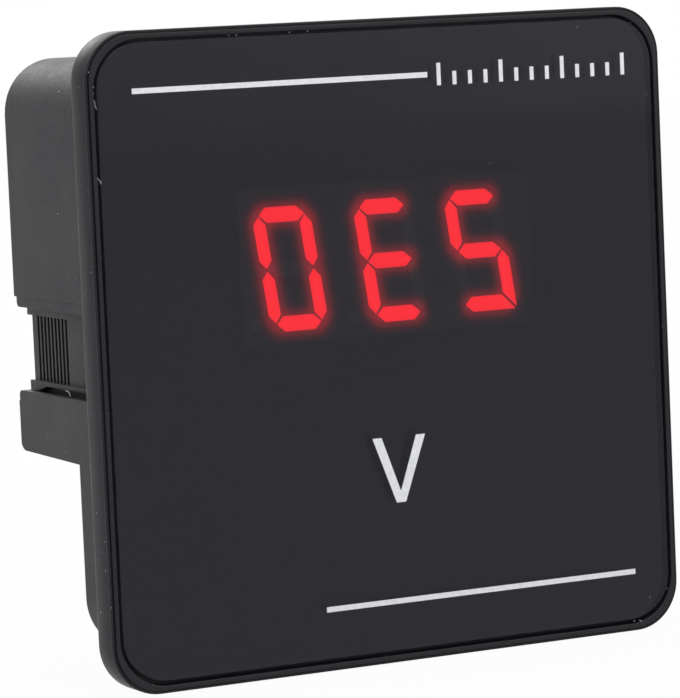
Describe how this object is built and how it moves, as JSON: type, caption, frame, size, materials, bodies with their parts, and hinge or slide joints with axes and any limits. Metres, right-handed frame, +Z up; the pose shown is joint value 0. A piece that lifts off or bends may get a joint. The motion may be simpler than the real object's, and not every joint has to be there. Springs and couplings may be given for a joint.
{
  "type": "digital panel meter",
  "caption": "Square panel-mounted digital meter: smoked flat face with a lit red seven-segment reading, stepped moulded housing with side clip channels, and two rear terminal studs.",
  "frame": {"origin": "centre of the plane where the bezel's back meets the panel, in the middle of the square front", "axes": "+Z up the face, -Y out of the face towards the reader, +Y into the panel along the housing's depth, +X to the right as seen by the reader"},
  "size_m": [0.072, 0.03, 0.072],
  "materials": {
    "bezel": "fine satin moulding",
    "housing": "fine pebble texture",
    "face_plate": "smoked, smooth",
    "adhesive": "thin black self-adhesive sheet",
    "white_print": "screen print",
    "display_plastic": "smooth black",
    "segment_lit": "translucent, lit",
    "segment_dark": "translucent, unlit",
    "tinned": "tin plated",
    "board": "green solder mask",
    "component_black": "moulded",
    "brass": "plain",
    "steel": "zinc plated",
    "film_yellow": "moulded",
    "sleeve": "shrunk sleeve",
    "resistor_body": "lacquered",
    "disc_blue": "dipped",
    "trimmer_blue": "moulded"
  },
  "bodies": {
    "root": {"bezel": "bezel", "face_plate": "face_plate", "plate_adhesive": "adhesive", "upper_line": "white_print", "lower_line": "white_print", "scale_marks": "white_print", "display_case": "display_plastic", "lit_segments": "segment_lit", "dark_segments": "segment_dark", "decimal_points": "segment_dark", "display_pins": "tinned", "display_board": "board", "segment_resistors": "component_black", "digit_transistors": "component_black", "board_pillars": "brass", "main_board": "board", "board_screws": "steel", "board_header": "component_black", "header_pins": "brass", "film_capacitor": "film_yellow", "smoothing_capacitor": "sleeve", "filter_capacitor": "sleeve", "bridge_rectifier": "component_black", "dropper_resistor": "resistor_body", "surge_disc": "disc_blue", "control_chip": "component_black", "chip_legs": "tinned", "clock_crystal": "steel", "trimmer_body": "trimmer_blue", "trimmer_screw": "brass", "housing": "housing", "case_screws": "steel", "contact_strap_left": "brass", "contact_strap_right": "brass", "terminal_studs": "brass", "seat_washers": "steel", "clamp_nuts": "brass", "wire_washers": "steel", "spring_washers": "steel", "wire_nuts": "brass"}
  },
  "joints": []
}
